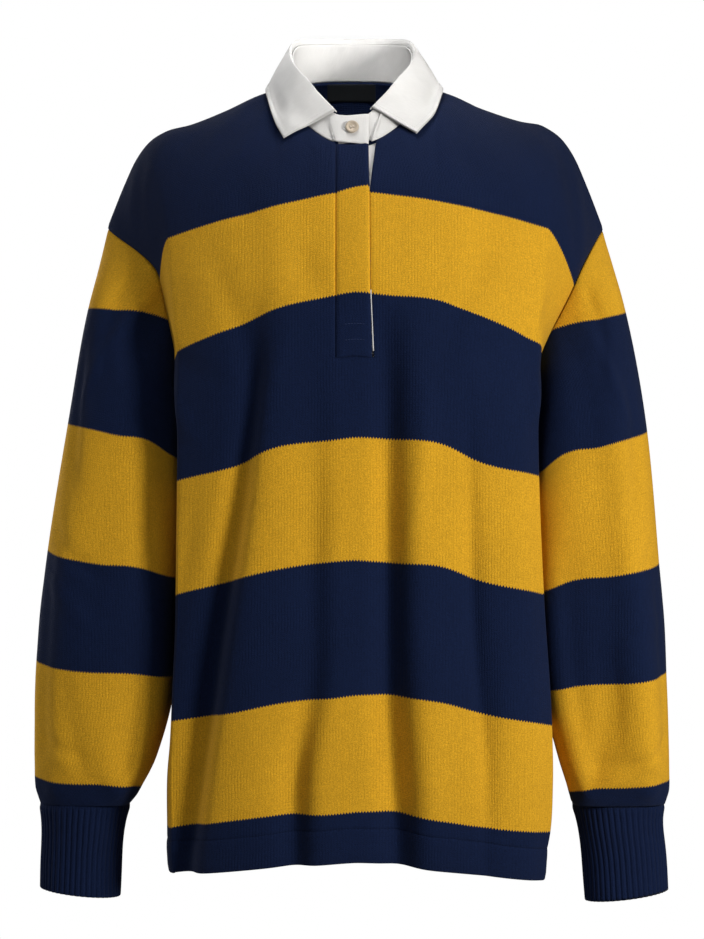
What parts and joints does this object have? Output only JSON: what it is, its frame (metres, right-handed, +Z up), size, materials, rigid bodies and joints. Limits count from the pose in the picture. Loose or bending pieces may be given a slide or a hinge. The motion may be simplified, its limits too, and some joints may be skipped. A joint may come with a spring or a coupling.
{
  "type": "rugby sweater",
  "caption": "Long-sleeved knitted sweater with wide stripes, woven collar, half placket, ribbed cuffs and a plain hem band, in its hollow worn form.",
  "frame": {"origin": "centre of the neck base at the height of the high point of the shoulder, where a wearer holds the garment up", "axes": "+Z up towards the collar, -Y towards the front, +X towards the wearer's left"},
  "size_m": [0.5806, 0.2453, 0.8047],
  "materials": {
    "front": "matte",
    "back": "matte",
    "sleeve_right": "matte",
    "sleeve_left": "matte",
    "cuff_right": "matte",
    "cuff_left": "matte",
    "hem_band_front": "matte",
    "hem_band_back": "matte",
    "collar_stand": "matte",
    "collar_fall": "matte",
    "placket_outer": "matte",
    "placket_under": "matte",
    "button": "satin",
    "neck_label": "matte"
  },
  "bodies": {
    "root": {"front": "front", "back": "back", "sleeve_right": "sleeve_right", "sleeve_left": "sleeve_left", "cuff_right": "cuff_right", "cuff_left": "cuff_left", "hem_band_front": "hem_band_front", "hem_band_back": "hem_band_back", "collar_stand": "collar_stand", "collar_fall": "collar_fall", "placket_outer": "placket_outer", "placket_under": "placket_under", "button": "button", "neck_label": "neck_label"}
  },
  "joints": []
}
